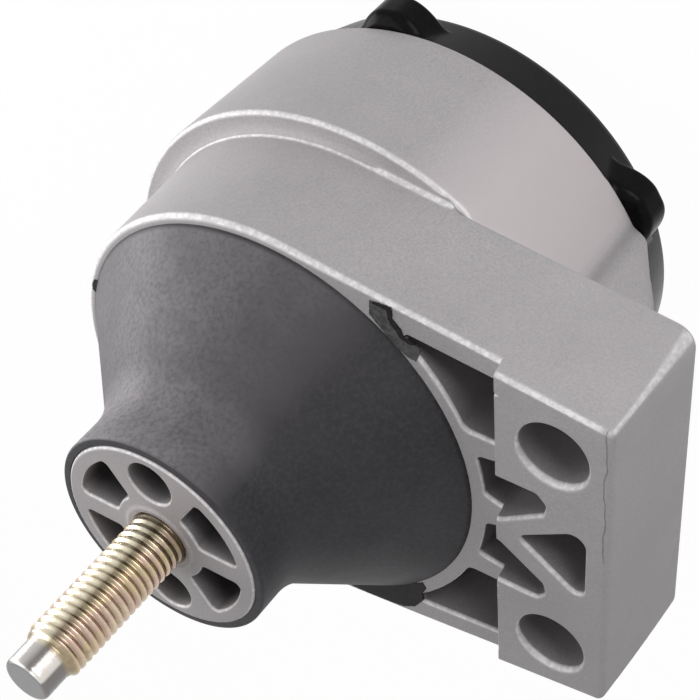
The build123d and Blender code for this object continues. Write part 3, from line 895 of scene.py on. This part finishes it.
def mould_line(tree):
    """1 on a thin wavering line at x = 74.3 mm, across most of the pad."""
    x, y, z = coordinates(tree)
    waver = spread(tree, noise(tree, 130), 0.3, 0.7, -0.4 * MM, 0.4 * MM)
    off = calc(tree, "ABSOLUTE", calc(tree, "ADD", calc(tree, "SUBTRACT", x, 74.3 * MM), waver))
    line = spread(tree, off, 0.07 * MM, 0.2 * MM, 1.0, 0.0)
    on_pad = spread(tree, z, -34.9 * MM, -34.6 * MM)
    return product(tree, line, on_pad, spread(tree, y, 3.0 * MM, 6.0 * MM))


def paint_side_light_and_crease_shade(tree, colour):
    """Paints light on the can between the web and the wall, and paints shade in the web's crease."""
    x, y, z = coordinates(tree)
    beside = spread(tree, y, 24.0 * MM, 27.5 * MM)
    near = spread(tree, towards(tree, 44), 0.87, 0.98, high=0.75)
    off = calc(tree, "ABSOLUTE", calc(tree, "SUBTRACT", y, 23.8 * MM))
    line, far = spread(tree, off, 0.3 * MM, 1.9 * MM, 0.32, 0.0), spread(tree, x, 40.0 * MM, 44.0 * MM)
    # Painted light on the side that faces 44 degrees, and painted shade along the crease near y = 23.8 mm.
    painted_light_tone, crease_shade_tone = (0.62, 0.565, 0.575), (0.14, 0.13, 0.135)
    return coats(tree, colour, (product(tree, beside, near), painted_light_tone), (product(tree, line, far), crease_shade_tone))


def cast_aluminium(name, tone, grain=0.24, pocket_shade=0.0, with_side_light=False):
    """Warm grey casting: cloudy, speckled, with painted edge highlights; if asked, painted shade in its depths
    and painted side light.
    """
    material, tree, shader = new_material(name, tone, 0.2, 0.55)
    speck = noise(tree, 2100, 2.0)
    clouds = tones(tree, noise(tree, 55, 5.0, 0.65), ((0.3, shade(tone, 0.9)), (0.7, shade(tone, 1.1))))
    specks = tones(tree, speck, ((0.25, shade(tone, 0.76)), (0.75, shade(tone, 1.26))))
    colour = blend(tree, spread(tree, noise(tree, 25), 0.3, 0.7, 0.4, 0.65), clouds, specks)
    # Painted light and crease shade, on the can only.
    if with_side_light:
        colour = paint_side_light_and_crease_shade(tree, colour)
    chips = spread(tree, noise(tree, 900), 0.42, 0.62, 0.55, 1.0)
    # Painted highlight: near-white on rounded edges and the end corner, broken into chips by noise.
    edge_highlight = product(tree, calc(tree, "MAXIMUM", painted_edge_highlight(tree), painted_corner_highlight(tree)), chips)
    # Painted shade: darker towards the floors of the pockets, from 0.5 to 5 mm down.
    depth = spread(tree, coordinates(tree)[2], -5.0 * MM, -0.5 * MM, pocket_shade, 0.0)
    seam = product(tree, mould_line(tree), 0.55)
    layers = (edge_highlight, (0.8, 0.78, 0.785)), (seam, (0.06, 0.055, 0.058)), (depth, (0.05, 0.045, 0.048))
    join(tree, shader, {
        "Base Color": coats(tree, colour, *layers),
        "Specular IOR Level": 0.35,
        "Roughness": spread(tree, speck, 0.3, 0.7, 0.48, 0.64),
        "Normal": bump(tree, ((noise(tree, 260, 2.0), 0.12), (speck, grain))),
    })
    return material


bracket_finish = cast_aluminium("bracket_aluminium", (0.42, 0.40, 0.412))
can_finish = cast_aluminium("can_aluminium", (0.42, 0.40, 0.412), with_side_light=True)
# Painted shade: a darker copy of the finish, for the faces inside the pockets and bolt holes.
shaded_hollow_finish = cast_aluminium("shaded_hollow_aluminium", (0.32, 0.304, 0.311))
core_finish = cast_aluminium("seat_aluminium", (0.41, 0.39, 0.4), 0.2, 0.85)
plate_finish = cast_aluminium("track_aluminium", (0.45, 0.45, 0.46))
centres = np.empty(len(bracket.data.polygons) * 3)
bracket.data.polygons.foreach_get("center", centres)
middles = centres.reshape(-1, 3)[:, :2] / MM
shaded_hollow_faces = np.any([inside(middles, outset(loop, 0.05)) for loop in pocket_loops + bolt_loops], axis=0)
bracket.data.polygons.foreach_set("material_index", shaded_hollow_faces.astype(np.int32))
print("faces inside the hollows", int(shaded_hollow_faces.sum()))

# %% [markdown]
# Moulded rubber is nearly black, yet its satin skin picks up a broad grey sheen from a window or a lamp.
# A cloudy bloom varies its colour and its roughness. A grey sheen is painted on one side, and where the rubber
# meets the ring, the joint is dark.


# %% Rubber
def moulded_rubber(name, tone, roughness, gloss, side_sheen=None):
    """Black rubber: cloudy bloom, a satin skin, and a painted sheen on one side if a tone is given for it."""
    material, tree, shader = new_material(name, tone, 0.0, roughness)
    bloom = noise(tree, 45, 6.0, 0.65)
    colour = tones(tree, bloom, ((0.3, shade(tone, 0.7)), (0.7, shade(tone, 1.5))))
    if side_sheen:
        # Painted sheen: lighter, in patches, where the surface faces 118 degrees round the stud.
        side = spread(tree, facing(tree, 118), 0.3, 0.9)
        patchy = spread(tree, noise(tree, 28, 6.0, 0.7), 0.3, 0.65, 0.45, 1.0)
        joint = spread(tree, from_axis(tree), (bore_radius - 0.75) * MM, (bore_radius - 0.25) * MM, high=0.85)
        colour = coats(tree, colour, (product(tree, side, patchy), side_sheen), (joint, (0.004, 0.004, 0.004)))
    fine = noise(tree, 1100)
    colour = blend(tree, spread(tree, fine, 0.42, 0.7, high=0.55), colour, shade(tone, 2.6))
    join(tree, shader, {
        "Base Color": colour,
        "Specular IOR Level": gloss,
        "Roughness": spread(tree, bloom, 0.3, 0.7, roughness + 0.05, roughness - 0.05),
        "Normal": bump(tree, ((bloom, 0.15), (fine, 0.25))),
    })
    return material


rubber_finish = moulded_rubber("moulded_rubber", (0.021, 0.0195, 0.0225), 0.6, 0.34, (0.3, 0.282, 0.302))
cap_finish = moulded_rubber("black_cap", (0.004, 0.0036, 0.0038), 0.25, 0.05)
skin_finish = moulded_rubber("dull_skin", (0.075, 0.074, 0.075), 0.7, 0.2)
torn_finish = moulded_rubber("torn_rubber", (0.012, 0.0105, 0.0115), 0.6, 0.15)
inner_finish = moulded_rubber("inner_black", (0.03, 0.03, 0.03), 0.55, 0.4)
print("rubber joint at", round(bore_radius, 2), "mm from the axis")

# %% [markdown]
# Yellow zinc plate is a thin film that shifts between straw, gold, pink and a trace of green. It is not a
# colour of its own but a metal with a tint, which wanders along and round the stud. The plain point has
# little of it. Metal shows mostly what it mirrors, and all round it here is white, so the finish paints in
# the shade of the grooves and of the root, a dark and a pale reflection as streaks, and highlights on the
# point.


# %% Zinc plate
def zinc_plate(name):
    """Plated steel: a metal whose tint wanders between straw, gold, pink and olive, with painted shade,
    reflections and highlights, and a bare point.
    """
    material, tree, shader = new_material(name, (0.45, 0.36, 0.26), 1.0, 0.3)
    tint = tones(tree, noise(tree, 130), (
        (0.32, (0.34, 0.30, 0.20)), (0.43, (0.62, 0.49, 0.31)), (0.52, (0.60, 0.43, 0.35)),
        (0.60, (0.68, 0.55, 0.40)), (0.70, (0.45, 0.42, 0.30)),
    ))
    z = coordinates(tree)[2]
    # Painted shade in the thread's grooves.
    groove_shade = spread(tree, from_axis(tree), (stud_radius - 0.42) * MM, (stud_radius - 0.08) * MM, 0.5, 0.0)
    # Painted reflections: a dark streak and a pale streak along the stud.
    dark_reflection = spread(tree, towards(tree, 79), 0.93, 0.985, high=0.78)
    pale_reflection = spread(tree, towards(tree, 104), 0.88, 0.97, high=0.7)
    # Painted shade: darker near the root, where the stud leaves the core.
    root = spread(tree, z, 0.5 * MM, 4.5 * MM, 0.75, 0.0)
    plated = coats(tree, tint, (groove_shade, (0.12, 0.095, 0.07)), (dark_reflection, (0.16, 0.135, 0.09)),
                   (pale_reflection, (0.82, 0.76, 0.60)), (root, (0.09, 0.075, 0.045)))
    # Painted highlights on two sides of the plain point.
    tip_highlight_right = spread(tree, towards(tree, 46), 0.93, 0.97)
    tip_highlight_left = spread(tree, towards(tree, 108), 0.85, 0.97, high=0.7)
    end_face = spread(tree, coordinates(tree, "Normal")[2], 0.8, 0.95)
    bare = coats(tree, (0.2, 0.19, 0.185), (tip_highlight_right, (0.7, 0.66, 0.62)),
                 (tip_highlight_left, (0.62, 0.6, 0.58)), (end_face, (0.24, 0.235, 0.235)))
    at_tip = spread(tree, z, (thread_end_z + 0.6) * MM, (thread_end_z + 1.6) * MM)
    fine = noise(tree, 1500)
    join(tree, shader, {
        "Base Color": blend(tree, at_tip, plated, bare),
        "Roughness": spread(tree, fine, 0.3, 0.7, 0.2, 0.36),
        "Normal": bump(tree, ((fine, 0.12),)),
    })
    return material


stud_finish = zinc_plate("zinc_plate")
steel_finish, steel_tree, steel_shader = new_material("bare_steel", (0.5, 0.5, 0.51), 1.0, 0.35)
join(steel_tree, steel_shader, {"Roughness": spread(steel_tree, noise(steel_tree, 800), 0.3, 0.7, 0.28, 0.42)})
print("finishes", len(bpy.data.materials))

# %% [markdown]
# ## Joining the dressed pieces to the model
#
# Each new piece gets its finish, rides on the model's one body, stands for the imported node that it
# replaces, and names its material slot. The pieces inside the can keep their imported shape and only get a
# finish.


# %% Riding, replacing and slots
def dress(node, finish):
    """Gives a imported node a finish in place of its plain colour."""
    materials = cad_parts[node].data.materials
    materials.clear()
    materials.append(finish)


for piece, node, slot, finish in (
    (can, "housing", "cast_aluminium", can_finish),
    (bracket, "housing", "cast_aluminium", bracket_finish),
    (core, "core", "core_aluminium", core_finish),
    (stud, "engine_stud", "zinc_steel", stud_finish),
    (torn_skin, "main_spring", "black_rubber", skin_finish),
    (torn_edges, "main_spring", "black_rubber", torn_finish),
    (spring, "main_spring", "black_rubber", rubber_finish),
    (cap, "cap", "black_moulding", cap_finish),
):
    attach(piece, "root")
    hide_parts(node)
    piece.data.materials.append(finish)
    dress(node, finish)
bracket.data.materials.append(shaded_hollow_finish)

for node, finish in (
    ("track_plate_upper", plate_finish),
    ("track_plate_lower", plate_finish),
    ("decoupler_disc", inner_finish),
    ("seal_ring", inner_finish),
    ("diaphragm", inner_finish),
    ("bead_washer", steel_finish),
):
    dress(node, finish)

# %% [markdown]
# ## Camera
#
# The camera was placed by matching about sixty points of the photograph with the same points of the
# model. What came out is a viewpoint, the directions of the picture and a focal length. The picture is
# rolled, so the stud points to the lower left.

# %% Camera
camera_place = Vector((0.174457, 0.274242, 0.162463))
picture_right = Vector((0.82591479, -0.06450549, -0.56009267))
picture_down = Vector((0.35514671, -0.71203378, 0.60570513))
picture_in = picture_right.cross(picture_down)
camera_data = bpy.data.cameras.new("camera")
camera_data.sensor_width = 36.0
camera_data.lens = 99.494
camera_data.clip_start, camera_data.clip_end = 0.01, 20.0
camera = bpy.data.objects.new("camera", camera_data)
turned_axes = Matrix((picture_right, -picture_down, -picture_in)).transposed().to_4x4()
camera.matrix_world = Matrix.Translation(camera_place) @ turned_axes
scene = bpy.context.scene
scene.collection.objects.link(camera)
scene.camera = camera
print("camera is", round(camera_place.length, 3), "m from the origin")

# %% [markdown]
# ## Light, floor and background
#
# The photograph has soft light from the left and from above, weaker light from the viewer's side, and a
# plain white background. Four large lamps do that. Their strengths were found by rendering the mount
# under one lamp at a time, and then solving for the mixture that comes closest to the photograph.

# %% Lamps
target = Vector((0.01, 0.0, -0.045))


def lamp(name, angle, height, distance, size, power):
    """A square area lamp at an angle round the stud, a height and a distance, facing the target."""
    data = bpy.data.lights.new(name, "AREA")
    data.shape = "SQUARE"
    data.size = size
    data.energy = power
    holder = bpy.data.objects.new(name, data)
    holder.location = (distance * cos(radians(angle)), distance * sin(radians(angle)), height)
    holder.rotation_mode = "QUATERNION"
    holder.rotation_quaternion = (target - holder.location).to_track_quat("-Z", "Y")
    scene.collection.objects.link(holder)
    return holder


lamps = [
    lamp("left_lamp", 172, 0.0, 0.3, 0.18, 0.5),
    lamp("high_left_lamp", 160, 0.2, 0.4, 0.3, 0.42),
    lamp("top_lamp", 150, 0.4, 0.15, 0.4, 0.92),
    lamp("near_lamp", 57, 0.0, 0.5, 0.3, 1.4),
]
print("lamps", len(lamps))

# %% [markdown]
# The floor is a real surface under the cap, so the mount casts a soft shadow on it. Seen by the camera or
# in a mirrored ray, floor and world are nearly all white, like one sheet of paper. Matt surfaces don't
# see that white, so it brightens none of them.


# %% World and floor
def shown_rays(tree):
    """1 for rays from the camera, mirrored or passing through a surface, and 0 for matt light."""
    path = add(tree, "LightPath", {}).outputs
    mirrored_too = calc(tree, "MAXIMUM", path["Is Camera Ray"], path["Is Glossy Ray"])
    return calc(tree, "MAXIMUM", mirrored_too, path["Is Transmission Ray"])


def show_white(tree, kind, matt, share, output):
    """Lays white, by a share, over a matt shader or background, and joins it to the tree's output."""
    white = add(tree, kind, {"Color": (1, 1, 1), "Strength": 1.0})
    mix = add(tree, "MixShader", {"Fac": share, 1: matt.outputs[0], 2: white.outputs[0]})
    join(tree, tree.nodes[output], {"Surface": mix.outputs["Shader"]})


world = bpy.data.worlds.new("studio")
scene.world = world
world.use_nodes = True
world_tree, ambient_light = world.node_tree, 0.03
ambient = join(world_tree, world_tree.nodes["Background"], {"Color": (1, 1, 1), "Strength": ambient_light})
show_white(world_tree, "Background", ambient, shown_rays(world_tree), "World Output")

floor_half, floor_whiteness = 6.0, 0.98
floor_points = np.array([[-1, -1], [1, -1], [1, 1], [-1, 1]]) * floor_half
floor_mesh = bpy.data.meshes.new("floor")
floor_mesh.from_pydata(raised(floor_points, base_z * MM).tolist(), [], [[0, 1, 2, 3]])
floor = bpy.data.objects.new("floor", floor_mesh)
scene.collection.objects.link(floor)
floor_finish, floor_tree, floor_shader = new_material("pale_floor", (0.8, 0.8, 0.8), 0.0, 0.8)
floor_share = product(floor_tree, shown_rays(floor_tree), floor_whiteness)
show_white(floor_tree, "Emission", floor_shader, floor_share, "Material Output")
floor_mesh.materials.append(floor_finish)
scene.view_settings.view_transform = "Standard"
print("floor at", round(base_z, 1), "mm, ambient light", ambient_light)
